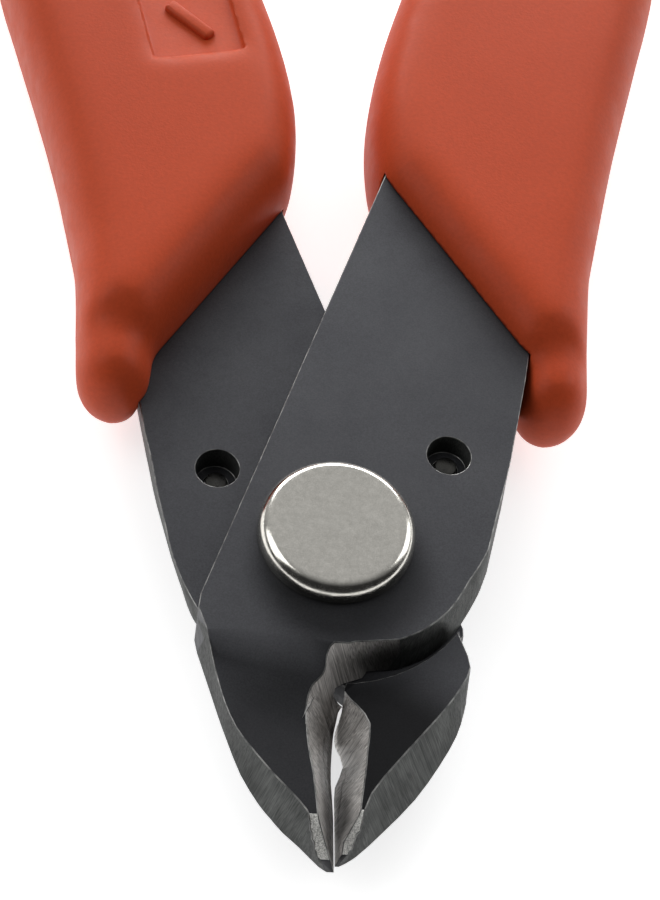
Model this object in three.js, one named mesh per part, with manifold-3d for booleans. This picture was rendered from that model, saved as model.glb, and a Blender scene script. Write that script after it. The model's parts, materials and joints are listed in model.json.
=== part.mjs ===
// A 127 mm flush cutter for electronics work: two stamped steel halves lapped on one rivet, a wire
// return spring behind the joint, and a moulded grip on each handle.
// Millimetres, +Z up. The cutter lies on its back with the jaws towards -Y.
// Everything is laid out about the rivet's axis, with z = 0 on the plane where the halves lap,
// and the finished group is then moved so that the origin is on the bench under its middle.

import * as THREE from 'three';
import { mergeVertices } from 'three/addons/utils/BufferGeometryUtils.js';
import Module from 'manifold-3d';

const wasm = await Module();
wasm.setup();

// ---- driving dimensions ----
const SHEET = 2.5;              // thickness of the steel
const LAP_GAP = 0.03;           // each half stands this far off the lapping plane
const JAW_LOW = -SHEET / 2;     // the flush plane, which holds both cutting edges
const JAW_HIGH = SHEET / 2;

const FRONT_TIP_Y = -17.2;      // the front half's tip just passes the rear one's
const REAR_TIP_Y = -16.9;
const HANDLE_END_Y = 109.8;

const CUT_LINE_X = 0.17;        // where the two cutting edges meet
const EDGE_GAP = 0.02;          // each edge stands this far off that line

const BLADE_START_Y = -11;      // beyond here a jaw is no thicker than the sheet
const NOSE_LENGTH = 2.0;        // the last stretch of each jaw is ground down to the tip
const NOSE_BLUNT = 0.15;
const FRONT_RECESS_RADIUS = 8.2;  // the step under each jaw, round the rivet, clears the other half
const REAR_RECESS_RADIUS = 8.05;
const RECESS_Y = -4.6;
const SHOULDER_X = 3;           // the plate's rounded shoulder lies beyond this, on the handle's side

const SHANK_RADIUS = 2.5;
const BORE_RADIUS = 2.54;
const HEAD_RADIUS = 4.18;
const HEAD_HEIGHT = 1.15;
const HEAD_FILLET = 0.75;       // across the head
const HEAD_FILLET_DEPTH = 1.05; // and down its side
const BACK_HEAD_RADIUS = 3.5;
const BACK_HEAD_HEIGHT = 1.2;
const HEAD_SEAT = 0.03;

const SPRING_HOLE = new THREE.Vector2(6.19, 5.33);
const SPRING_HOLE_RADIUS = 1.2; // wide at the front, down to a step
const WIRE_HOLE_RADIUS = 0.68;  // and close round the wire behind it
const FRONT_HOLE_STEP = 1.0;
const REAR_HOLE_STEP = -1.7;
const WIRE_RADIUS = 0.6;
const SPRING_LOOP_RADIUS = 5.35;
const SPRING_Z = -SHEET - WIRE_RADIUS - 0.3;
const WIRE_BEND = 0.95;         // length of wire on each side of its right-angled bends
const FRONT_WIRE_TOP = 1.4;
const REAR_WIRE_TOP = -1.35;

const GRIP_HALF_THICKNESS = 4.4;
const GRIP_ROUND = 2.6;         // rounding of the grip's long edges, across the grip
const GRIP_ROUND_DEPTH = 3.4;   // and through its thickness
const TANG_GAP = 0.3;           // room between the steel and the moulded grip

const ROUND_SEGMENTS = 48;
const FAR = 200;                // reaches past the object, for cutting tools

// ---- solids from three.js geometry ----
function toSolid(geometry) {
  const bare = geometry.index ? geometry.toNonIndexed() : geometry.clone();
  for (const name of Object.keys(bare.attributes)) {
    if (name !== 'position') bare.deleteAttribute(name);
  }
  const merged = mergeVertices(bare, 1e-4);
  return new wasm.Manifold(new wasm.Mesh({
    numProp: 3,
    vertProperties: new Float32Array(merged.attributes.position.array),
    triVerts: new Uint32Array(merged.index.array),
  }));
}

function toMesh(name, solid, color, roughness, metalness) {
  const cut = solid.getMesh();
  const geometry = new THREE.BufferGeometry();
  geometry.setAttribute('position', new THREE.BufferAttribute(cut.vertProperties, 3));
  geometry.setIndex(new THREE.BufferAttribute(cut.triVerts, 1));
  geometry.computeVertexNormals();
  const mesh = new THREE.Mesh(geometry, new THREE.MeshStandardMaterial({ color, roughness, metalness }));
  mesh.name = name;
  return mesh;
}

function box(x0, y0, z0, x1, y1, z1) {
  const geometry = new THREE.BoxGeometry(x1 - x0, y1 - y0, z1 - z0);
  return toSolid(geometry.translate((x0 + x1) / 2, (y0 + y1) / 2, (z0 + z1) / 2));
}

function uprightCylinder(radius, z0, z1, x = 0, y = 0) {
  const geometry = new THREE.CylinderGeometry(radius, radius, z1 - z0, ROUND_SEGMENTS);
  return toSolid(geometry.rotateX(Math.PI / 2).translate(x, y, (z0 + z1) / 2));
}

// The skin of a solid between rings of equally many points, each ring at one height, closed by
// flat caps.
function stackGeometry(rings) {
  const count = rings[0].points.length;
  const position = rings.flatMap(({ z, points }) => points.flatMap((p) => [p.x, p.y, z]));
  const index = [];
  for (let ring = 0; ring + 1 < rings.length; ring += 1) {
    for (let i = 0; i < count; i += 1) {
      const a = ring * count + i;
      const b = ring * count + (i + 1) % count;
      index.push(a, b, b + count, a, b + count, a + count);
    }
  }
  const last = (rings.length - 1) * count;
  for (const [a, b, c] of THREE.ShapeUtils.triangulateShape(rings[0].points, [])) index.push(c, b, a);
  for (const [a, b, c] of THREE.ShapeUtils.triangulateShape(rings.at(-1).points, [])) {
    index.push(last + a, last + b, last + c);
  }
  const geometry = new THREE.BufferGeometry();
  geometry.setAttribute('position', new THREE.BufferAttribute(new Float32Array(position), 3));
  geometry.setIndex(index);
  return geometry;
}

const stack = (rings) => toSolid(stackGeometry(rings));

// The same with outlines in the Y-Z plane, each at one place along X.
function stackAcross(sections) {
  const turn = new THREE.Matrix4().makeBasis(
    new THREE.Vector3(0, 1, 0), new THREE.Vector3(0, 0, 1), new THREE.Vector3(1, 0, 0));
  const rings = sections.map(({ x, outline }) => ({ z: x, points: outline }));
  return toSolid(stackGeometry(rings).applyMatrix4(turn));
}

// ---- the steel halves ----
// Both halves are described as the front one lies: handle towards +X, jaw towards -X. The rear half
// is the same plate mirrored in X. A wall point is a pair: where it is at the flush plane (floor)
// and at the top of the jaw (crown). Walls between the two heights are straight, so a pair that
// differs makes a ground slope, and a pair that agrees makes a plain stamped edge.
const point = (x, y) => new THREE.Vector2(x, y);
const upright = (x, y) => ({ floor: point(x, y), crown: point(x, y) });
const sloped = (floorX, floorY, crownX, crownY) => ({
  floor: point(floorX, floorY), crown: point(crownX, crownY),
});

const spline = (points, steps) =>
  new THREE.SplineCurve(points.map(([x, y]) => point(x, y))).getPoints(steps);

// A smooth wall through the given pairs.
function smoothWall(pairs, stepsEach = 2) {
  const steps = (pairs.length - 1) * stepsEach;
  const floors = new THREE.SplineCurve(pairs.map(({ floor }) => floor)).getPoints(steps);
  const crowns = new THREE.SplineCurve(pairs.map(({ crown }) => crown)).getPoints(steps);
  return floors.map((floor, i) => ({ floor, crown: crowns[i] }));
}

// The stamped outside edges lean: the plate is widest on the face that laps the other half, which
// is the lower face of the front half and the upper face of the rear one.
const turnOver = (wall) => wall.map(({ floor, crown }) => ({ floor: crown, crown: floor }));

// The handle's tang runs inside the grip, and narrows towards its round end.
const TANG_INNER = [
  [5.3, 28.5], [6.6, 35], [8.6, 42.5], [12.8, 57], [15.2, 73], [15.9, 88], [15.2, 99]];
const TANG_OUTER = [
  [19.4, 99.2], [20.6, 88], [21.2, 73], [20.2, 58], [17.6, 43], [15.0, 31], [12.2, 19]];
const TANG_END = { x: 17.3, y: 99.1, radius: 2.1 };

function tangWall() {
  const end = new THREE.EllipseCurve(
    TANG_END.x, TANG_END.y, TANG_END.radius, TANG_END.radius, Math.PI, 0, true);
  const points = [
    ...spline(TANG_INNER, 14), ...end.getPoints(8).slice(1, -1), ...spline(TANG_OUTER, 14)];
  return points.map((p) => upright(p.x, p.y));
}

// The inner edge runs straight from the grip to the jaw's corner.
const INNER_EDGE = [upright(-7.0, -3.9), upright(3.17, 25.0), upright(3.5, 25.9)];
const OUTER_EDGE = [
  upright(10.94, 11.8), sloped(10.34, 7.45, 10.16, 7.45), sloped(9.78, 5.25, 9.66, 5.25),
  sloped(9.07, 1.6, 8.77, 1.6)];

// Rounded corner of each half beside the other one's jaw. Each row: angle in degrees, then the
// radius on the lapping plane, on the front half's outside face and on the rear half's.
const SHOULDER = [
  [-3, 8.42, 8.1, 8.0], [-7, 8.26, 7.88, 7.86], [-12, 8.12, 7.65, 7.77], [-18, 7.96, 7.4, 7.7],
  [-25, 7.84, 7.28, 7.58], [-36, 7.76, 7.2, 7.38], [-50, 7.6, 7.05, 7.15], [-62, 7.35, 6.85, 6.9]];

function shoulderWall(outsideColumn) {
  const pairs = SHOULDER.map((row) => {
    const angle = THREE.MathUtils.degToRad(row[0]);
    const lapping = row[1];
    const outside = row[outsideColumn];
    const floor = lapping + (lapping - outside) / 2;
    const crown = (lapping + outside) / 2;
    return sloped(floor * Math.cos(angle), floor * Math.sin(angle),
      crown * Math.cos(angle), crown * Math.sin(angle));
  });
  return smoothWall(pairs);
}

// Inside of each jaw, from the throat to the tip: the hollow-ground relief, then the bevel that
// meets the flush plane in the cutting edge.
const FRONT_CUT_X = CUT_LINE_X - EDGE_GAP;
const REAR_CUT_X = -CUT_LINE_X - EDGE_GAP;
const FRONT_INSIDE = [
  sloped(2.3, -6.95, 1.35, -6.52),
  sloped(1.8, -7.74, 0.5, -6.84),
  ...smoothWall([
    sloped(0.62, -8.2, -0.2, -7.3),
    sloped(0.45, -8.5, -0.27, -7.78),
    sloped(0.35, -9.0, -0.56, -8.27),
    sloped(0.2, -9.7, -1.1, -8.73),
    sloped(0.12, -10.5, -1.4, -9.9),
    sloped(0.05, -11.6, -1.41, -10.97),
    sloped(0.05, -12.5, -1.25, -12.21),
    sloped(0.1, -13.3, -1.1, -13.01),
    sloped(FRONT_CUT_X, -14.5, -0.95, -14.5),
  ]),
  sloped(FRONT_CUT_X, -15.3, -0.88, -15.3),
  sloped(FRONT_CUT_X, -17.25, -0.38, -17.25),
];
const REAR_INSIDE = [
  sloped(2.3, -6.75, 2.1, -6.5),
  ...smoothWall([
    sloped(0.9, -6.9, 0.7, -6.7),
    sloped(-0.5, -7.4, -0.45, -7.3),
    sloped(-0.8, -8.0, -0.62, -7.9),
    sloped(-0.62, -8.5, -0.42, -8.33),
    sloped(-0.45, -9.1, -0.8, -8.95),
    sloped(-0.34, -9.7, -1.2, -9.35),
    sloped(-0.34, -10.4, -1.74, -10.22),
    sloped(-0.66, -11.54, -1.61, -11.7),
    sloped(REAR_CUT_X - 0.05, -12.7, -1.49, -12.9),
    sloped(REAR_CUT_X, -13.8, -1.27, -14.4),
  ]),
  sloped(REAR_CUT_X, -15.1, -1.2, -15.1),
  sloped(REAR_CUT_X, -16.95, -0.6, -16.95),
];

// Outside of each jaw, from the tip to the corner where it meets the handle's inner edge.
const FRONT_OUTSIDE = [
  ...smoothWall([
    sloped(-0.1, -17.25, -0.9, -17.25),
    sloped(-0.6, -16.95, -1.0, -16.6),
    sloped(-1.45, -16.1, -1.1, -15.9),
    sloped(-2.41, -15.25, -1.45, -15.0),
    sloped(-3.05, -14.5, -2.3, -14.0),
    sloped(-3.65, -13.75, -3.15, -13.1),
    sloped(-4.57, -12.2, -4.1, -11.95),
    sloped(-5.27, -10.4, -4.98, -10.75),
    sloped(-5.8, -8.9, -5.62, -9.3),
    sloped(-6.42, -7.0, -6.22, -7.4),
    sloped(-6.95, -5.4, -6.7, -5.9),
  ]),
  upright(-7.1, -4.7),
];
const REAR_OUTSIDE = [
  ...smoothWall([
    sloped(-0.3, -16.95, -1.0, -16.95),
    sloped(-1.3, -16.35, -1.25, -15.6),
    sloped(-2.69, -15.0, -1.8, -14.0),
    sloped(-4.34, -13.2, -3.1, -12.3),
    sloped(-5.65, -11.3, -4.4, -10.75),
    sloped(-6.6, -9.6, -5.6, -9.3),
    sloped(-7.05, -8.2, -6.5, -8.0),
    sloped(-7.3, -6.7, -7.05, -6.8),
    sloped(-7.2, -5.5, -6.78, -5.7),
  ]),
  sloped(-7.0, -4.7, -6.45, -4.75),
];

const frontWall = () => [
  ...tangWall(), ...OUTER_EDGE, ...shoulderWall(2), ...FRONT_INSIDE, ...FRONT_OUTSIDE, ...INNER_EDGE];
const rearWall = () => [
  ...tangWall(), ...turnOver(OUTER_EDGE), ...turnOver(shoulderWall(3)),
  ...REAR_INSIDE, ...REAR_OUTSIDE, ...INNER_EDGE];

// The wall as seen in plan at height z, mirrored for the rear half. The throat's slope runs on
// through the plate, and the blade's stops at the jaw's own faces. Rings run anticlockwise.
function ringAt(wall, z, side) {
  const rise = (z - JAW_LOW) / SHEET;
  const points = wall.map(({ floor, crown }) => {
    const onBlade = floor.y < BLADE_START_Y;
    return floor.clone().lerp(crown, onBlade ? THREE.MathUtils.clamp(rise, 0, 1) : rise);
  });
  points.forEach((p) => p.setX(p.x * side));
  const outline = THREE.ShapeUtils.isClockWise(points) ? points.reverse() : points;
  return { z, points: outline };
}

// Where the outside face drops by half the sheet to the jaw, in rows: place along X, where the
// slope starts and where it ends. It runs askew, and is steepest at the jaw's outer corner.
const JOGGLE = [
  [-FAR, -5.96, -7.7], [-7.0, -5.96, -7.7], [-5.9, -5.9, -8.18], [-4.9, -5.85, -8.62],
  [-3.8, -5.9, -9.05], [-2.5, -6.0, -9.45], [-1.5, -6.12, -9.71], [0, -6.42, -10.1],
  [FAR, -6.42, -10.1]];
const JOGGLE_FILLET_SHARE = 0.45;   // how much of the slope its rounded foot takes

// The slope down from the outside face at z = SHEET, in the Y-Z plane.
function joggleSlope(startY, endY) {
  const start = point(startY, SHEET);
  const foot = point(endY, JAW_HIGH);
  const filletStart = foot.clone().lerp(start, JOGGLE_FILLET_SHARE);
  const filletEnd = point(endY - foot.distanceTo(filletStart), JAW_HIGH);
  return [start, ...new THREE.QuadraticBezierCurve(filletStart, foot, filletEnd).getPoints(4)];
}

const nose = (tipY) => [
  point(tipY + NOSE_LENGTH, JAW_HIGH), point(tipY + NOSE_BLUNT, 0), point(tipY, JAW_LOW)];

// Each half seen from its edge: the flat plate, the joggle and the jaw with its sloping nose.
function frontSide() {
  return stackAcross(JOGGLE.map(([x, startY, endY]) => {
    const slope = joggleSlope(startY, endY);
    return { x, outline: [point(FAR, JAW_LOW), point(FAR, SHEET), ...slope, ...nose(FRONT_TIP_Y)] };
  }));
}

function rearSide() {
  return stackAcross(JOGGLE.toReversed().map(([x, startY, endY]) => {
    const slope = joggleSlope(startY, endY).reverse().map((p) => point(p.x, -p.y));
    return { x: -x, outline: [point(FAR, -SHEET), point(FAR, JAW_HIGH), ...nose(REAR_TIP_Y), ...slope] };
  }));
}

// What is milled away behind the jaw so that the other half can lie there and turn.
function lapRecess(side, radius, z0, z1) {
  const [x0, x1] = side > 0 ? [SHOULDER_X, FAR] : [-FAR, -SHOULDER_X];
  return uprightCylinder(radius, z0, z1)
    .add(box(-FAR, RECESS_Y, z0, FAR, FAR, z1))
    .add(box(x0, -FAR, z0, x1, FAR, z1));
}

function holes(side, step) {
  const x = side * SPRING_HOLE.x;
  return uprightCylinder(BORE_RADIUS, -FAR, FAR)
    .add(uprightCylinder(WIRE_HOLE_RADIUS, -FAR, FAR, x, SPRING_HOLE.y))
    .add(uprightCylinder(SPRING_HOLE_RADIUS, step, FAR, x, SPRING_HOLE.y));
}

function frontHalf() {
  const heights = [JAW_LOW - 0.5, JAW_LOW, JAW_HIGH, SHEET + 0.5];
  return stack(heights.map((z) => ringAt(frontWall(), z, 1)))
    .intersect(frontSide())
    .subtract(lapRecess(1, FRONT_RECESS_RADIUS, -2 * SHEET, LAP_GAP))
    .subtract(holes(1, FRONT_HOLE_STEP));
}

function rearHalf() {
  const heights = [-SHEET - 0.5, JAW_LOW, JAW_HIGH, JAW_HIGH + 0.5];
  return stack(heights.map((z) => ringAt(rearWall(), z, -1)))
    .intersect(rearSide())
    .subtract(lapRecess(-1, REAR_RECESS_RADIUS, -LAP_GAP, 2 * SHEET))
    .subtract(holes(-1, REAR_HOLE_STEP));
}

// ---- rivet: one turned piece, with a polished front head and a formed back head ----
function rivet() {
  const front = SHEET + HEAD_SEAT;
  const back = -SHEET - HEAD_SEAT;
  const top = front + HEAD_HEIGHT;
  const frontFillet = new THREE.EllipseCurve(
    HEAD_RADIUS - HEAD_FILLET, top - HEAD_FILLET_DEPTH, HEAD_FILLET, HEAD_FILLET_DEPTH, 0, Math.PI / 2);
  const backDome = new THREE.EllipseCurve(
    BACK_HEAD_RADIUS * 0.55, back, BACK_HEAD_RADIUS * 0.45, BACK_HEAD_HEIGHT, -Math.PI / 2, 0);
  const profile = [
    point(0, back - BACK_HEAD_HEIGHT), ...backDome.getPoints(6), point(SHANK_RADIUS, back),
    point(SHANK_RADIUS, front), point(HEAD_RADIUS, front), ...frontFillet.getPoints(6), point(0, top)];
  return toSolid(new THREE.LatheGeometry(profile, ROUND_SEGMENTS).rotateX(Math.PI / 2));
}

// ---- return spring: one wire bent round the rivet's back head, an end hooked up into each half ----
class SpringPath extends THREE.Curve {
  constructor() {
    super();
    const away = SPRING_HOLE.length();
    const touch = Math.acos(SPRING_LOOP_RADIUS / away);
    const start = Math.atan2(SPRING_HOLE.y, SPRING_HOLE.x) - touch;
    const round = new THREE.EllipseCurve(
      0, 0, SPRING_LOOP_RADIUS, SPRING_LOOP_RADIUS, start, -Math.PI - start, true);
    const loop = round.getPoints(20).map((p) => new THREE.Vector3(p.x, p.y, SPRING_Z));
    const leg = (side, top) => {
      const foot = new THREE.Vector3(side * SPRING_HOLE.x, SPRING_HOLE.y, SPRING_Z);
      const near = side > 0 ? loop[0] : loop.at(-1);
      const along = near.clone().sub(foot).setLength(WIRE_BEND);
      const above = foot.clone().setZ(SPRING_Z + WIRE_BEND);
      return [foot.clone().setZ(top), above, foot, foot.clone().add(along)];
    };
    const [a0, a1, a2, a3] = leg(1, FRONT_WIRE_TOP);
    const [b0, b1, b2, b3] = leg(-1, REAR_WIRE_TOP);
    this.path = new THREE.CurvePath();
    this.path.add(new THREE.LineCurve3(a0, a1));
    this.path.add(new THREE.QuadraticBezierCurve3(a1, a2, a3));
    this.path.add(new THREE.LineCurve3(a3, loop[0]));
    this.path.add(new THREE.CatmullRomCurve3(loop));
    this.path.add(new THREE.LineCurve3(loop.at(-1), b3));
    this.path.add(new THREE.QuadraticBezierCurve3(b3, b2, b1));
    this.path.add(new THREE.LineCurve3(b1, b0));
  }

  getPoint(t, target = new THREE.Vector3()) {
    return target.copy(this.path.getPoint(t));
  }
}

function returnSpring() {
  const section = new THREE.Shape().absarc(0, 0, WIRE_RADIUS, 0, 2 * Math.PI);
  return toSolid(new THREE.ExtrudeGeometry(section, {
    extrudePath: new SpringPath(), steps: 72, curveSegments: 6, bevelEnabled: false,
  }));
}

// ---- grips: soft-edged handles moulded over the tangs ----
const GRIP_INNER = [
  [12.5, 104], [12.9, 90], [12.2, 74], [9.6, 57], [5.3, 43], [3.2, 35.5], [2.35, 30], [2.5, 26]];
const GRIP_FRONT = [[2.85, 24.3], [10.7, 11.9], [14.6, 12.6]];
const GRIP_OUTER = [
  [15.2, 18.5], [17.4, 28], [19.7, 36.5], [21.5, 43.5], [24.2, 59], [24.9, 74], [23.6, 90], [21.5, 104]];
const GRIP_END = { x: 17.0, radius: 4.6, length: 4.7 };
const LOBE_FROM = [12.55, 10.75];
const LOBE_TO = [13.0, 19];
const LOBE_RADIUS = 2.18;
const LOBE_HALF_THICKNESS = 3.2;
const LEFT_LEAN = 0.45;         // the left grip's front end sits this far towards the middle

// How far inwards a place on the grip sits: nothing behind the waist, LEFT_LEAN at the front end.
const lean = (side, y) => (side < 0 ? LEFT_LEAN * THREE.MathUtils.clamp((40 - y) / 15, 0, 1) : 0);

function gripShape(side) {
  const { x, radius, length } = GRIP_END;
  const end = new THREE.EllipseCurve(x, HANDLE_END_Y - length, radius, length, 0, Math.PI);
  const points = [...spline(GRIP_INNER, 20), ...GRIP_FRONT.map(([px, py]) => point(px, py)),
    ...spline(GRIP_OUTER, 20), ...end.getPoints(10)];
  points.forEach((p) => p.setX((p.x - lean(side, p.y)) * side));
  return new THREE.Shape(points);
}

function gripBody(side) {
  const depth = 2 * (GRIP_HALF_THICKNESS - GRIP_ROUND_DEPTH);
  const geometry = new THREE.ExtrudeGeometry(gripShape(side), {
    depth, bevelEnabled: true, bevelThickness: GRIP_ROUND_DEPTH,
    bevelSize: GRIP_ROUND, bevelOffset: -GRIP_ROUND, bevelSegments: 5,
  });
  return toSolid(geometry.translate(0, 0, -depth / 2));
}

// The rounded end of the outer wall, which keeps the hand off the joint.
function gripLobe(side) {
  const [x0, y0] = LOBE_FROM;
  const [x1, y1] = LOBE_TO;
  const length = Math.hypot(x1 - x0, y1 - y0);
  const geometry = new THREE.CapsuleGeometry(LOBE_RADIUS, length, 7, 20);
  geometry.scale(1, 1, LOBE_HALF_THICKNESS / LOBE_RADIUS);
  geometry.rotateZ(-side * Math.atan2(x1 - x0, y1 - y0));
  const middleX = (x0 + x1) / 2 - lean(side, y0);
  return toSolid(geometry.translate(side * middleX, (y0 + y1) / 2, 0));
}

// The steel blank, grown by the moulding gap all round.
function tangRoom(side, z0, z1) {
  const wall = [...tangWall(), ...OUTER_EDGE, upright(2, 5), upright(-3.9, 5), ...INNER_EDGE.slice(1)];
  const points = ringAt(wall, 0, side).points;
  const geometry = new THREE.ExtrudeGeometry(new THREE.Shape(points), {
    depth: z1 - z0, bevelEnabled: true, bevelThickness: TANG_GAP,
    bevelSize: 0, bevelOffset: TANG_GAP, bevelSegments: 1,
  });
  return toSolid(geometry.translate(0, 0, z0));
}

// A shallow recessed panel on the left grip's face, with plain raised bars.
const PANEL = { length: 30, width: 5.6, depth: 0.5, x: -11.6, y: 46.6, turn: 0.235 };
const BAR = { count: 5, width: 0.9, length: 3.6, height: 0.3, turn: 0.6 };

function panelCut() {
  const floor = GRIP_HALF_THICKNESS - PANEL.depth;
  const place = (geometry) => toSolid(geometry.rotateZ(PANEL.turn).translate(PANEL.x, PANEL.y, 0));
  const recess = new THREE.BoxGeometry(PANEL.width, PANEL.length, 2 * PANEL.depth);
  let cut = place(recess.translate(0, 0, floor + PANEL.depth));
  for (let i = 0; i < BAR.count; i += 1) {
    const bar = new THREE.BoxGeometry(BAR.width, BAR.length, 2 * BAR.height).rotateZ(BAR.turn);
    const along = (i - (BAR.count - 1) / 2) * PANEL.length / BAR.count;
    cut = cut.subtract(place(bar.translate(0, along, floor)));
  }
  return cut;
}

function grip(side) {
  const [z0, z1] = side > 0 ? [0, SHEET] : [-SHEET, 0];
  const moulded = gripBody(side).add(gripLobe(side)).subtract(tangRoom(side, z0, z1));
  return side > 0 ? moulded : moulded.subtract(panelCut());
}

// ---- the cutter ----
const STEEL = 0x43444a;
const POLISHED = 0xb0ada3;
const SPRING_STEEL = 0x8a8a88;
const ORANGE = 0xb8523b;

const cutter = new THREE.Group();
cutter.add(toMesh('front_half', frontHalf(), STEEL, 0.45, 0.8));
cutter.add(toMesh('rear_half', rearHalf(), STEEL, 0.45, 0.8));
cutter.add(toMesh('pivot_rivet', rivet(), POLISHED, 0.25, 1.0));
cutter.add(toMesh('return_spring', returnSpring(), SPRING_STEEL, 0.3, 1.0));
cutter.add(toMesh('right_grip', grip(1), ORANGE, 0.55, 0.0));
cutter.add(toMesh('left_grip', grip(-1), ORANGE, 0.55, 0.0));

const middleY = (FRONT_TIP_Y + HANDLE_END_Y) / 2;
cutter.position.set(0, -middleY, GRIP_HALF_THICKNESS);

export default cutter;
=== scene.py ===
import json
import math

import bmesh
import bpy
from mathutils import Matrix, Vector
from mathutils.bvhtree import BVHTree


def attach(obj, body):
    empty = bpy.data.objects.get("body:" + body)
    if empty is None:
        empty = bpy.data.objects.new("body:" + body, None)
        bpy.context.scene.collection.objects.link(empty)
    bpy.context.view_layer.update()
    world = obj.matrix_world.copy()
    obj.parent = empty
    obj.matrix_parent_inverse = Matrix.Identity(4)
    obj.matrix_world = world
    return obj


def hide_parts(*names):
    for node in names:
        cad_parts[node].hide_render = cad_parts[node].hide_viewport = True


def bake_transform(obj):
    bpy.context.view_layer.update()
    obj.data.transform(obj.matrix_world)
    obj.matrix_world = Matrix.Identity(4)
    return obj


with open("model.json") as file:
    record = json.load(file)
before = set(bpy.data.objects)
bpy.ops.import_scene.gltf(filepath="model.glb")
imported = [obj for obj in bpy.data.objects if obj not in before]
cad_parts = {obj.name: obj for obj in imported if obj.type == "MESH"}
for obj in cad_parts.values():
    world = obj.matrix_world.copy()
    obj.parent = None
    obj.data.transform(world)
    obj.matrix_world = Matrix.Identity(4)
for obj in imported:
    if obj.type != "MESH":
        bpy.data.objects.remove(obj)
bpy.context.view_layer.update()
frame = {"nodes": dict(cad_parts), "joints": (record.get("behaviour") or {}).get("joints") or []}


# ---- camera ----
# A close view down onto the jaws from just left of the tool's own line, with the camera rolled
# so that the cutter leans a little and its handles run out of the picture.
mm = 0.001
pivot = Vector(frame["joints"][0]["pos_m"])
azimuth = math.radians(-10.1)
elevation = math.radians(56.2)
roll = math.radians(11.6)
camera_distance = 113.45 * mm
look_at = pivot + Vector((0.0, 6.9, 0.0)) * mm
towards_camera = Vector((math.sin(azimuth) * math.cos(elevation),
                         -math.cos(azimuth) * math.cos(elevation), math.sin(elevation)))
camera_data = bpy.data.cameras.new("camera")
camera_data.lens = 82.1
camera_data.clip_start = 0.01
camera = bpy.data.objects.new("camera", camera_data)
bpy.context.scene.collection.objects.link(camera)
camera.rotation_mode = "QUATERNION"
camera.rotation_quaternion = (towards_camera.to_track_quat("Z", "Y")
                              @ Matrix.Rotation(roll, 3, "Z").to_quaternion())
camera.location = look_at + towards_camera * camera_distance
bpy.context.scene.camera = camera


# ---- bench and studio light ----
# A white sheet that glows a little, so that it shows hardly any shadow. The room is bright above
# and behind the tool and dark in front of it, with softboxes behind it and at its left and right.
bench_half_side = 5.0
bench_drop = 0.1 * mm
bench_glow = 0.65
brightest_way = (0.0, 0.8, 0.6)
dark_from, bright_from = 0.0, 0.9
dark_room, bright_room = 0.03, 0.52
light_distance = 0.6


def bare_material(name):
    made = bpy.data.materials.new(name)
    made.use_nodes = True
    return made, made.node_tree.nodes["Principled BSDF"]


bench_white, bench_shader = bare_material("white_sheet")
bench_shader.inputs["Base Color"].default_value = (0.93, 0.93, 0.93, 1.0)
bench_shader.inputs["Roughness"].default_value = 0.8
bench_shader.inputs["Emission Color"].default_value = (1.0, 1.0, 1.0, 1.0)
bench_shader.inputs["Emission Strength"].default_value = bench_glow

bench_mesh = bpy.data.meshes.new("bench")
bm = bmesh.new()
bmesh.ops.create_grid(bm, x_segments=1, y_segments=1, size=bench_half_side)
bm.to_mesh(bench_mesh)
bm.free()
bench = bpy.data.objects.new("bench", bench_mesh)
bench.location.z = -bench_drop
bench_mesh.materials.append(bench_white)
bpy.context.scene.collection.objects.link(bench)

bpy.context.scene.view_settings.view_transform = "Standard"
studio = bpy.data.worlds.new("studio")
studio.use_nodes = True
studio_nodes, studio_links = studio.node_tree.nodes, studio.node_tree.links
room = studio_nodes.new("ShaderNodeTexCoord").outputs["Generated"]
facing_window = studio_nodes.new("ShaderNodeVectorMath")
facing_window.operation = "DOT_PRODUCT"
facing_window.inputs[1].default_value = brightest_way
studio_links.new(room, facing_window.inputs[0])
shade = studio_nodes.new("ShaderNodeMapRange")
for socket, value in (("From Min", dark_from), ("From Max", bright_from),
                      ("To Min", dark_room), ("To Max", bright_room)):
    shade.inputs[socket].default_value = value
studio_links.new(facing_window.outputs["Value"], shade.inputs["Value"])
studio_nodes["Background"].inputs["Color"].default_value = (1.0, 1.0, 1.0, 1.0)
studio_links.new(shade.outputs["Result"], studio_nodes["Background"].inputs["Strength"])
bpy.context.scene.world = studio


def softbox(name, direction, size, watts):
    light = bpy.data.lights.new(name, "AREA")
    light.shape = "RECTANGLE"
    light.size, light.size_y = size
    light.energy = watts
    lamp = bpy.data.objects.new(name, light)
    lamp.location = pivot + Vector(direction).normalized() * light_distance
    lamp.rotation_mode = "QUATERNION"
    lamp.rotation_quaternion = Vector(direction).to_track_quat("Z", "Y")
    bpy.context.scene.collection.objects.link(lamp)


softbox("back_light", (0.0, 1.0, 0.36), (0.7, 0.22), 3.6)
softbox("left_light", (-0.9, 0.1, 0.75), (0.35, 0.5), 1.1)
softbox("right_light", (1.0, 0.4, 0.6), (0.3, 0.4), 0.9)


# ---- the two steel halves ----
# Each half is stamped from 2.5 mm tool steel and blackened. The jaw's inside, its flanks and its
# nose are ground afterwards, and every edge is left with a fine bright line.
BLACK, GROUND, FLANK, NOSE, EDGE = range(5)
edge_width = 0.05 * mm
shortest_edge = 0.045 * mm
flat_within = math.radians(1.0)
inside_line = 0.07 * mm
flank_line = 0.06 * mm

# Where the finishes begin and end, in mm from the pivot: along the tool, then across it.
nose_from = -14.9
straight_inside_from = -12.0
flank_from = -6.0
shoulder_from, shoulder_to = -6.5, 11.0
throat_left, throat_right = -2.2, 3.0
keen_tip_from = -16.6
keen_edge_from, keen_edge_below, keen_edge_half = -7.0, -1.2, 1.5
crest_from, crest_to, crest_above = -8.9, -6.6, 1.2
crest_passes = 3


def object_coords(material):
    nodes = material.node_tree.nodes
    return nodes.new("ShaderNodeTexCoord").outputs["Object"]


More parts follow.
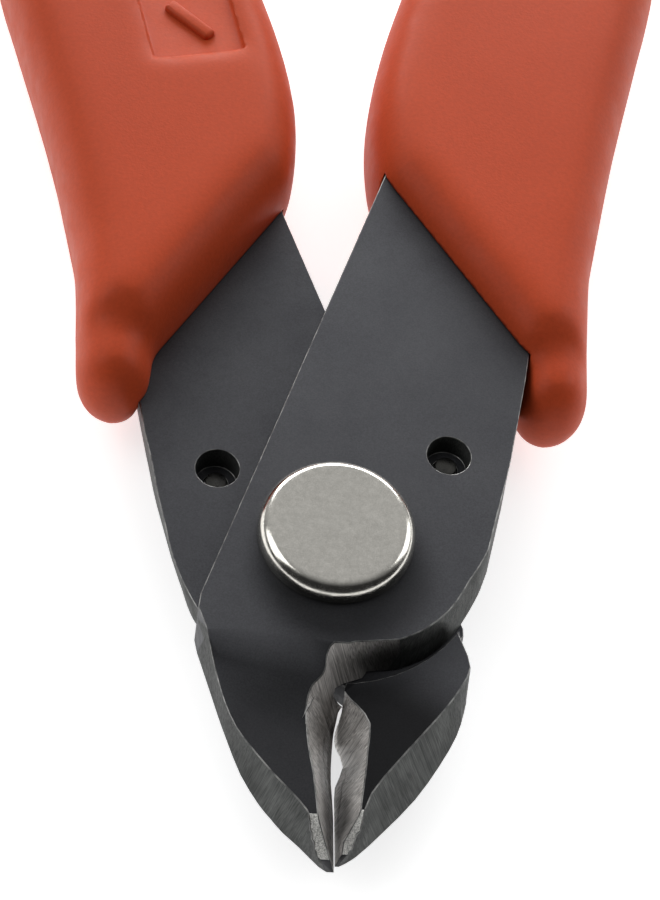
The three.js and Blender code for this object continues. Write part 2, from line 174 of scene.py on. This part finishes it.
# A noise whose lumps are as large as `size`; a triple of sizes stretches it along `along`.
def noise(material, size, along=(0, 0, 1), detail=2.0, roughness=0.5):
    nodes, links = material.node_tree.nodes, material.node_tree.links
    place = nodes.new("ShaderNodeMapping")
    place.vector_type = "TEXTURE"
    place.inputs["Rotation"].default_value = Vector(along).to_track_quat("Z", "Y").to_euler()
    place.inputs["Scale"].default_value = size if isinstance(size, tuple) else (size, size, size)
    links.new(object_coords(material), place.inputs["Vector"])
    texture = nodes.new("ShaderNodeTexNoise")
    texture.inputs["Scale"].default_value = 1.0
    texture.inputs["Detail"].default_value = detail
    texture.inputs["Roughness"].default_value = roughness
    links.new(place.outputs["Vector"], texture.inputs["Vector"])
    return texture.outputs["Fac"]


def ramp(material, factor, stops):
    node = material.node_tree.nodes.new("ShaderNodeValToRGB")
    elements = node.color_ramp.elements
    while len(elements) < len(stops):
        elements.new(0.5)
    for element, (at, value) in zip(elements, stops):
        element.position = at
        element.color = (*value, 1.0) if isinstance(value, tuple) else (value, value, value, 1.0)
    material.node_tree.links.new(factor, node.inputs["Fac"])
    return node.outputs["Color"]


def multiply(material, first, second):
    node = material.node_tree.nodes.new("ShaderNodeMix")
    node.data_type = "RGBA"
    node.blend_type = "MULTIPLY"
    node.inputs["Factor"].default_value = 1.0
    material.node_tree.links.new(first, node.inputs["A"])
    material.node_tree.links.new(second, node.inputs["B"])
    return node.outputs["Result"]


def bump(material, shader, height, distance):
    node = material.node_tree.nodes.new("ShaderNodeBump")
    node.inputs["Strength"].default_value = 1.0
    node.inputs["Distance"].default_value = distance
    material.node_tree.links.new(height, node.inputs["Height"])
    material.node_tree.links.new(node.outputs["Normal"], shader.inputs["Normal"])


def finish(material, shader, color, roughness, metallic):
    material.node_tree.links.new(color, shader.inputs["Base Color"])
    material.node_tree.links.new(roughness, shader.inputs["Roughness"])
    shader.inputs["Metallic"].default_value = metallic


# A painted shade for a colour to be multiplied with: `shade` within `near` of a place, none beyond
# `far`.
def painted_shade_towards(material, place, near, far, shade):
    nodes, links = material.node_tree.nodes, material.node_tree.links
    gap = nodes.new("ShaderNodeVectorMath")
    gap.operation = "DISTANCE"
    gap.inputs[1].default_value = pivot + Vector(place) * mm
    links.new(object_coords(material), gap.inputs[0])
    reach = nodes.new("ShaderNodeMapRange")
    reach.interpolation_type = "SMOOTHSTEP"
    for socket, value in (("From Min", near), ("From Max", far),
                          ("To Min", shade), ("To Max", 1.0)):
        reach.inputs[socket].default_value = value
    links.new(gap.outputs["Value"], reach.inputs["Value"])
    return reach.outputs["Result"]


# The oxide is darker on the jaw and just below the rivet's head. This is painted shade: the shadow
# that falls on the jaws and below the head is put into the colour.
def black_oxide(name, painted_jaw_shade):
    made, shader = bare_material(name)
    clouds = ramp(made, noise(made, 4.0 * mm, detail=4.0),
                  [(0.3, (0.062, 0.063, 0.069)), (0.7, (0.072, 0.073, 0.079))])
    grain = ramp(made, noise(made, 0.09 * mm, detail=3.0), [(0.3, 0.86), (0.7, 1.12)])
    rubbed = ramp(made, noise(made, 1.3 * mm, detail=5.0, roughness=0.65),
                  [(0.35, 0.46), (0.7, 0.6)])
    # Painted shade on the jaw and a painted shadow below the rivet's head, both multiplied into
    # the colour.
    jaw = painted_shade_towards(made, (0.0, -16.0, 0.0), 7.5 * mm, 11.0 * mm, painted_jaw_shade)
    painted_shadow_below_head = painted_shade_towards(made, (0.5, -2.4, 2.5), 3.2 * mm, 5.6 * mm, 0.45)
    color = multiply(made, multiply(made, clouds, grain), multiply(made, jaw, painted_shadow_below_head))
    finish(made, shader, color, rubbed, 0.85)
    bump(made, shader, noise(made, 0.12 * mm, detail=2.0), 0.004 * mm)
    return made


# Ground steel, with lines along the way the stone ran. It darkens towards the shoulder: painted
# shade for the shadow in the throat.
def ground_steel(name, along, dark, light, across, metallic, edge_on, painted_shoulder_shade):
    made, shader = bare_material(name)
    lines = noise(made, (across, across, 6.0 * mm), along, detail=3.0, roughness=0.6)
    between = tuple((a + b) / 2 for a, b in zip(dark, light))
    color = ramp(made, lines, [(0.32, dark), (0.5, between), (0.7, light)])
    patches = ramp(made, noise(made, 1.6 * mm, detail=3.0), [(0.3, 0.7), (0.7, 1.15)])
    dull = ramp(made, noise(made, (across * 2, across * 2, 3.0 * mm), along),
                [(0.3, 0.3), (0.7, 0.5)])
    # Painted shade towards the shoulder, multiplied into the colour.
    shoulder = painted_shade_towards(made, (4.0, -6.2, 0.5), 1.5 * mm, 3.6 * mm, painted_shoulder_shade)
    color = multiply(made, multiply(made, color, patches), shoulder)
    finish(made, shader, color, dull, metallic)
    shader.inputs["Specular Tint"].default_value = (edge_on, edge_on, edge_on, 1.0)
    bump(made, shader, lines, 0.012 * mm)
    return made


def nose_steel():
    made, shader = bare_material("nose_facet")
    speckle = ramp(made, noise(made, 0.07 * mm, detail=3.0, roughness=0.7),
                   [(0.35, (0.3, 0.3, 0.285)), (0.62, (0.95, 0.94, 0.9))])
    dull = ramp(made, noise(made, 0.2 * mm), [(0.3, 0.3), (0.7, 0.55)])
    finish(made, shader, speckle, dull, 0.3)
    bump(made, shader, noise(made, 0.08 * mm), 0.015 * mm)
    return made


def bright_edge():
    made, shader = bare_material("bright_edge")
    color = ramp(made, noise(made, 0.5 * mm, detail=3.0),
                 [(0.35, (0.1, 0.1, 0.1)), (0.65, (0.3, 0.3, 0.29))])
    dull = ramp(made, noise(made, 0.3 * mm), [(0.3, 0.3), (0.7, 0.45)])
    finish(made, shader, color, dull, 1.0)
    return made


edge_steel = bright_edge()
nose_finish = nose_steel()


# Which finish a face of the front half has; the rear half is asked about its mirror image. The
# stone has run along the jaw's inside and, on the front half, on round the wall of the throat.
def front_finish(center, normal, ground_from):
    if (center.y < nose_from and abs(normal.x) < 0.08 and normal.y < -0.5
            and normal.z > 0.7):
        return NOSE
    on_inside = normal.x > 0.05 if center.y < straight_inside_from else center.x > throat_left
    within = -throat_right < center.x < throat_right
    if center.y < ground_from and on_inside and within and abs(normal.z) < 0.9:
        return GROUND
    if center.y < flank_from and normal.x < -0.15 and normal.z < 0.8 and center.x < 0.1:
        return FLANK
    on_shoulder = center.x > throat_right and shoulder_from < center.y < shoulder_to
    if on_shoulder and abs(normal.z) < 0.75:
        return FLANK
    return BLACK


# Evens out the line along which two finishes meet, in the stretch of the joint's throat.
def even_crest(bm):
    crest = []
    for edge in bm.edges:
        finishes = {face.material_index for face in edge.link_faces}
        if edge.is_manifold and len(finishes) == 2 and GROUND in finishes:
            crest.append(edge)
    spots = {}
    for edge in crest:
        for vert, other in ((edge.verts[0], edge.verts[1]), (edge.verts[1], edge.verts[0])):
            spots.setdefault(vert, []).append(other)
    for _ in range(crest_passes):
        moved = {}
        for vert, others in spots.items():
            at = (vert.co - pivot) / mm
            if len(others) == 2 and crest_from < at.y < crest_to and at.z > crest_above:
                moved[vert] = vert.co.lerp((others[0].co + others[1].co) / 2, 0.5)
        for vert, place in moved.items():
            vert.co = place


# The edges round the faces are worn. The cutting edges and the tips stay keen, and a crease
# within a face or a wall stays as it is.
def worn(edge):
    middle = ((edge.verts[0].co + edge.verts[1].co) / 2 - pivot) / mm
    cutting = (middle.z < keen_edge_below and middle.y < keen_edge_from
               and abs(middle.x) < keen_edge_half)
    keen = middle.y < keen_tip_from or cutting
    slopes = [abs(face.normal.z) for face in edge.link_faces]
    crease = max(slopes) < 0.6 or min(slopes) > 0.6
    corner = math.radians(26) < edge.calc_face_angle(0.0) < math.radians(125)
    return corner and not keen and not crease


def finished_half(node, name, side, slope, flank_lean, painted_jaw_shade, ground_from):
    mesh = frame["nodes"][node].data.copy()
    mesh.name = name
    mesh.materials.clear()
    inside = ground_steel(name + "_inside", slope, (0.25, 0.235, 0.225), (0.85, 0.82, 0.79),
                          inside_line, metallic=0.3, edge_on=1.0, painted_shoulder_shade=0.14)
    oxide = black_oxide(name + "_oxide", painted_jaw_shade)
    flank = ground_steel(name + "_flank", flank_lean, (0.045, 0.047, 0.046), (0.12, 0.124, 0.12),
                         flank_line, metallic=0.6, edge_on=0.3, painted_shoulder_shade=1.0)
    for look in (oxide, inside, flank, nose_finish, edge_steel):
        mesh.materials.append(look)
    bm = bmesh.new()
    bm.from_mesh(mesh)
    bmesh.ops.remove_doubles(bm, verts=bm.verts, dist=shortest_edge)
    bmesh.ops.dissolve_degenerate(bm, edges=bm.edges, dist=shortest_edge / 4)
    bmesh.ops.dissolve_limit(bm, angle_limit=flat_within, verts=bm.verts, edges=bm.edges)
    for face in bm.faces:
        center = (face.calc_center_median() - pivot) / mm
        normal = face.normal.copy()
        center.x *= side
        normal.x *= side
        face.material_index = front_finish(center, normal, ground_from)
    even_crest(bm)
    sharp = [edge for edge in bm.edges if edge.is_manifold and worn(edge)]
    made = bmesh.ops.bevel(bm, geom=sharp, offset=edge_width, offset_type="OFFSET", segments=2,
                           profile=0.5, affect="EDGES", clamp_overlap=False, material=-1)
    for face in made["faces"]:
        face.material_index = EDGE
    for face in bm.faces:
        face.smooth = True
    bm.to_mesh(mesh)
    bm.free()
    piece = bpy.data.objects.new(name, mesh)
    bpy.context.scene.collection.objects.link(piece)
    weighted = piece.modifiers.new("flat_faces", "WEIGHTED_NORMAL")
    weighted.keep_sharp = True
    return piece


front_piece = finished_half("front_half", "front_half_finished", side=1,
                            slope=(0.3, -0.33, -0.9), flank_lean=(0.6, 0.45, 2.5),
                            painted_jaw_shade=0.5, ground_from=-5.6)
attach(front_piece, "front")
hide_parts("front_half")
rear_piece = finished_half("rear_half", "rear_half_finished", side=-1,
                           slope=(-0.3, -0.33, -0.9), flank_lean=(-1.1, 0.8, 2.5),
                           painted_jaw_shade=0.18, ground_from=-8.1)
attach(rear_piece, "rear")
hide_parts("rear_half")


# ---- the rivet ----
# One turned steel piece. Its front head has a flat top and a wide polished rounding, its shank
# fills both bores, and its back head is domed when it is closed.
head_seat = 2.53 * mm
head_radius = 4.18 * mm
head_height = 1.15 * mm
head_round = 0.75 * mm
head_round_depth = 1.05 * mm
shank_radius = 2.5 * mm
back_radius = 3.5 * mm
back_height = 1.2 * mm
back_flat = 0.55
top_rim = 0.25 * mm
turned_steps = 96


def turned(name, profile, steps):
    mesh = bpy.data.meshes.new(name)
    bm = bmesh.new()
    verts = [bm.verts.new(pivot + Vector((x, 0.0, z))) for x, z in profile]
    edges = [bm.edges.new(pair) for pair in zip(verts, verts[1:])]
    bmesh.ops.spin(bm, geom=verts + edges, cent=pivot, axis=(0, 0, 1), angle=2 * math.pi,
                   steps=steps, use_merge=True)
    bmesh.ops.remove_doubles(bm, verts=bm.verts, dist=0.001 * mm)
    bmesh.ops.recalc_face_normals(bm, faces=bm.faces)
    for face in bm.faces:
        face.smooth = True
    bm.to_mesh(mesh)
    bm.free()
    mesh.set_sharp_from_angle(angle=math.radians(40))
    piece = bpy.data.objects.new(name, mesh)
    bpy.context.scene.collection.objects.link(piece)
    return piece


def quarter(center_x, center_z, radius_x, radius_z, start, steps):
    angles = [math.radians(start + 90 * i / steps) for i in range(steps + 1)]
    return [(center_x + radius_x * math.cos(a), center_z + radius_z * math.sin(a)) for a in angles]


head_top = head_seat + head_height
back_top = -head_seat - back_height
rivet_profile = [(0.0, back_top), (back_radius * back_flat / 2, back_top)]
rivet_profile += quarter(back_radius * back_flat, -head_seat, back_radius * (1 - back_flat),
                         back_height, -90, 10)
rivet_profile += [(shank_radius, -head_seat), (shank_radius, head_seat), (head_radius, head_seat)]
rivet_profile += quarter(head_radius - head_round, head_top - head_round_depth, head_round,
                         head_round_depth, 0, 12)
rivet_profile += [(head_radius - head_round - top_rim, head_top), (0.0, head_top)]

rivet_steel, rivet_shader = bare_material("polished_rivet")
rivet_color = ramp(rivet_steel, noise(rivet_steel, 0.35 * mm, detail=5.0, roughness=0.7),
                   [(0.3, (0.6, 0.585, 0.535)), (0.7, (0.74, 0.72, 0.665))])
rivet_grain = ramp(rivet_steel, noise(rivet_steel, 0.05 * mm, detail=2.0),
                   [(0.3, 0.9), (0.7, 1.06)])
rivet_dull = ramp(rivet_steel, noise(rivet_steel, 0.6 * mm, detail=3.0),
                  [(0.3, 0.13), (0.7, 0.24)])
finish(rivet_steel, rivet_shader, multiply(rivet_steel, rivet_color, rivet_grain), rivet_dull, 1.0)
bump(rivet_steel, rivet_shader, noise(rivet_steel, 0.1 * mm, detail=3.0), 0.002 * mm)

rivet_piece = turned("rivet_turned", rivet_profile, turned_steps)
rivet_piece.data.materials.append(rivet_steel)
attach(rivet_piece, "rear")
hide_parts("pivot_rivet")


# ---- the return spring ----
# One 1.2 mm spring wire, bent round the rivet's back head behind the joint, with each end hooked
# up into a hole of one half. It opens the jaws again; its right end is hooked into the front half.
wire_radius = 0.6 * mm
hole = Vector((6.19, 5.33, 0.0)) * mm
loop_radius = 5.35 * mm
wire_z = -3.4 * mm
bend = 0.95 * mm
front_wire_top = 1.4 * mm
rear_wire_top = -1.35 * mm
loop_steps = 40
bend_steps = 6
wire_sides = 6
end_round = 0.12 * mm


def wire_route():
    start = math.atan2(hole.y, hole.x) - math.acos(loop_radius / hole.length)
    sweep = -math.pi - 2 * start
    loop = [Vector((loop_radius * math.cos(start + sweep * i / loop_steps),
                    loop_radius * math.sin(start + sweep * i / loop_steps), wire_z))
            for i in range(loop_steps + 1)]

    def hook(side, top, near):
        foot = Vector((side * hole.x, hole.y, wire_z))
        above = foot + Vector((0, 0, bend))
        along = foot + (near - foot).normalized() * bend
        parts = [t / bend_steps for t in range(bend_steps + 1)]
        corner = [above.lerp(foot, t).lerp(foot.lerp(along, t), t) for t in parts]
        return [Vector((foot.x, foot.y, top))] + corner

    right = hook(1, front_wire_top, loop[0])
    left = hook(-1, rear_wire_top, loop[-1])
    return right + loop + left[::-1]


def drawn_wire(name, route, radius, sides):
    curve = bpy.data.curves.new(name, "CURVE")
    curve.dimensions = "3D"
    curve.bevel_depth = radius
    curve.bevel_resolution = sides
    curve.use_fill_caps = True
    line = curve.splines.new("POLY")
    line.points.add(len(route) - 1)
    for spot, at in zip(line.points, route):
        spot.co = (*(pivot + at), 1.0)
    shaper = bpy.data.objects.new(name + "_shaper", curve)
    bpy.context.scene.collection.objects.link(shaper)
    graph = bpy.context.evaluated_depsgraph_get()
    mesh = bpy.data.meshes.new_from_object(shaper.evaluated_get(graph))
    bpy.data.objects.remove(shaper)
    bm = bmesh.new()
    bm.from_mesh(mesh)
    bmesh.ops.remove_doubles(bm, verts=bm.verts, dist=0.001 * mm)
    bmesh.ops.recalc_face_normals(bm, faces=bm.faces)
    rims = [edge for edge in bm.edges
            if edge.is_manifold and edge.calc_face_angle(0.0) > math.radians(60)]
    bmesh.ops.bevel(bm, geom=rims, offset=end_round, offset_type="OFFSET", segments=3,
                    profile=0.5, affect="EDGES", clamp_overlap=True, material=-1)
    for face in bm.faces:
        face.smooth = True
    bm.to_mesh(mesh)
    bm.free()
    mesh.name = name
    piece = bpy.data.objects.new(name, mesh)
    bpy.context.scene.collection.objects.link(piece)
    return piece


wire_steel, wire_shader = bare_material("spring_wire_steel")
wire_color = ramp(wire_steel, noise(wire_steel, 0.5 * mm, detail=4.0),
                  [(0.3, (0.05, 0.05, 0.05)), (0.7, (0.1, 0.098, 0.09))])
wire_dull = ramp(wire_steel, noise(wire_steel, 0.25 * mm), [(0.3, 0.25), (0.7, 0.4)])
wire_grain = ramp(wire_steel, noise(wire_steel, 0.06 * mm), [(0.3, 0.85), (0.7, 1.1)])
finish(wire_steel, wire_shader, multiply(wire_steel, wire_color, wire_grain), wire_dull, 1.0)

wire_piece = drawn_wire("spring_wire_drawn", wire_route(), wire_radius, wire_sides)
wire_piece.data.materials.clear()
wire_piece.data.materials.append(wire_steel)
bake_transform(wire_piece)
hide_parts("return_spring")


# ---- the grips ----
# Two handles of orange rubber-like plastic, moulded over the steel tangs in one shot. All their
# edges are soft, and the fine matt grain of the mould shows on them.
grain_voxel = 0.32 * mm
soften_steps = 14
panel_place = Vector((-11.6, 46.6, 4.4)) * mm
panel_size = Vector((5.6, 30.0, 1.1)) * mm
panel_turn = 0.235
panel_corner = 0.25 * mm
bar_size = Vector((0.9, 3.6, 0.6)) * mm
bar_turn = 0.6
bar_count = 5
bar_sink = 0.5 * mm
bar_corner = 0.25 * mm
tang_reach = 0.48 * mm
slot_gap = 0.12 * mm


def orange_plastic():
    made, shader = bare_material("orange_plastic")
    color = ramp(made, noise(made, 9.0 * mm, detail=3.0),
                 [(0.3, (0.49, 0.062, 0.018)), (0.7, (0.53, 0.07, 0.022))])
    fine = ramp(made, noise(made, 0.25 * mm, detail=3.0), [(0.3, 0.94), (0.7, 1.05)])
    dull = ramp(made, noise(made, 1.2 * mm, detail=3.0), [(0.3, 0.42), (0.7, 0.54)])
    finish(made, shader, multiply(made, color, fine), dull, 0.0)
    shader.inputs["Specular IOR Level"].default_value = 0.14
    bump(made, shader, noise(made, 0.16 * mm, detail=3.0, roughness=0.6), 0.01 * mm)
    return made


# The CAD grip without the room for its tang, closed again where the steel goes in.
def solid_grip(node, half):
    steel = BVHTree.FromPolygons([v.co for v in half.data.vertices],
                                 [tuple(f.vertices) for f in half.data.polygons])
    mesh = frame["nodes"][node].data.copy()
    bm = bmesh.new()
    bm.from_mesh(mesh)
    bmesh.ops.remove_doubles(bm, verts=bm.verts, dist=0.001 * mm)
    inner = []
    for face in bm.faces:
        center = face.calc_center_median()
        near, _, _, distance = steel.find_nearest(center)
        if distance < tang_reach and (near - center).normalized().dot(face.normal) > 0.7:
            inner.append(face)
    bmesh.ops.delete(bm, geom=inner, context="FACES")
    rim = [edge for edge in bm.edges if edge.is_boundary]
    bmesh.ops.holes_fill(bm, edges=rim, sides=0)
    bmesh.ops.triangulate(bm, faces=[face for face in bm.faces if len(face.verts) > 4])
    bmesh.ops.recalc_face_normals(bm, faces=bm.faces)
    bm.to_mesh(mesh)
    bm.free()
    return mesh


# The steel, a little larger, as the cutter for the slot that it sits in.
def slot_cutter(half):
    mesh = half.data.copy()
    bm = bmesh.new()
    bm.from_mesh(mesh)
    bmesh.ops.remove_doubles(bm, verts=bm.verts, dist=0.001 * mm)
    bm.normal_update()
    for vert in bm.verts:
        vert.co += vert.normal * slot_gap
    bm.to_mesh(mesh)
    bm.free()
    return mesh


def made_by(mesh, name, modifiers):
    shaper = bpy.data.objects.new(name, mesh)
    bpy.context.scene.collection.objects.link(shaper)
    for kind, settings in modifiers:
        modifier = shaper.modifiers.new(kind.lower(), kind)
        for setting, value in settings.items():
            setattr(modifier, setting, value)
    graph = bpy.context.evaluated_depsgraph_get()
    shaped = bpy.data.meshes.new_from_object(shaper.evaluated_get(graph))
    bpy.data.objects.remove(shaper)
    return shaped


# A block with rounded edges, laid along the left grip's panel.
def soft_block(size, place, turn, corner, along=0.0):
    mesh = bpy.data.meshes.new("soft_block")
    bm = bmesh.new()
    bmesh.ops.create_cube(bm, size=1.0)
    bmesh.ops.scale(bm, vec=size, verts=bm.verts)
    bmesh.ops.bevel(bm, geom=list(bm.edges), offset=corner, offset_type="OFFSET", segments=4,
                    profile=0.5, affect="EDGES", clamp_overlap=True, material=-1)
    bmesh.ops.rotate(bm, matrix=Matrix.Rotation(turn, 3, "Z"), verts=bm.verts)
    bmesh.ops.translate(bm, vec=(0.0, along, 0.0), verts=bm.verts)
    bmesh.ops.rotate(bm, matrix=Matrix.Rotation(panel_turn, 3, "Z"), verts=bm.verts)
    bmesh.ops.translate(bm, vec=pivot + place, verts=bm.verts)
    bm.to_mesh(mesh)
    bm.free()
    return mesh


def moulded_grip(node, name, body, half):
    mesh = made_by(solid_grip(node, half), name + "_blank",
                   [("REMESH", {"mode": "VOXEL", "voxel_size": grain_voxel})])
    bm = bmesh.new()
    bm.from_mesh(mesh)
    for _ in range(soften_steps):
        bmesh.ops.smooth_vert(bm, verts=bm.verts, factor=0.5, use_axis_x=True, use_axis_y=True,
                              use_axis_z=True)
    bm.to_mesh(mesh)
    bm.free()
    cuts = [slot_cutter(half)]
    if body == "rear":
        cuts.append(soft_block(panel_size, panel_place, 0.0, panel_corner))
    cutters = []
    for cut in cuts:
        cutter = bpy.data.objects.new(cut.name, cut)
        bpy.context.scene.collection.objects.link(cutter)
        cutters.append(cutter)
    shaped = made_by(mesh, name + "_shaper",
                     [("BOOLEAN", {"operation": "DIFFERENCE", "solver": "EXACT", "object": cutter})
                      for cutter in cutters])
    for cutter in cutters:
        bpy.data.objects.remove(cutter)
    shaped.name = name
    shaped.shade_smooth()
    shaped.set_sharp_from_angle(angle=math.radians(50))
    shaped.materials.clear()
    shaped.materials.append(orange)
    piece = bpy.data.objects.new(name, shaped)
    bpy.context.scene.collection.objects.link(piece)
    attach(piece, body)
    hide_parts(node)
    return piece


orange = orange_plastic()
moulded_grip("right_grip", "right_grip_moulded", "front", frame["nodes"]["front_half"])
moulded_grip("left_grip", "left_grip_moulded", "rear", frame["nodes"]["rear_half"])

# The left grip's panel has five plain bars standing up from its floor, of the same plastic.
for number in range(bar_count):
    bar_mesh = soft_block(bar_size, panel_place - Vector((0, 0, bar_sink)), bar_turn, bar_corner,
                          (number - (bar_count - 1) / 2) * panel_size.y / bar_count)
    bar_mesh.shade_smooth()
    bar_mesh.materials.append(orange)
    bar = bpy.data.objects.new("panel_bar_%d" % (number + 1), bar_mesh)
    bpy.context.scene.collection.objects.link(bar)
    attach(bar, "rear")
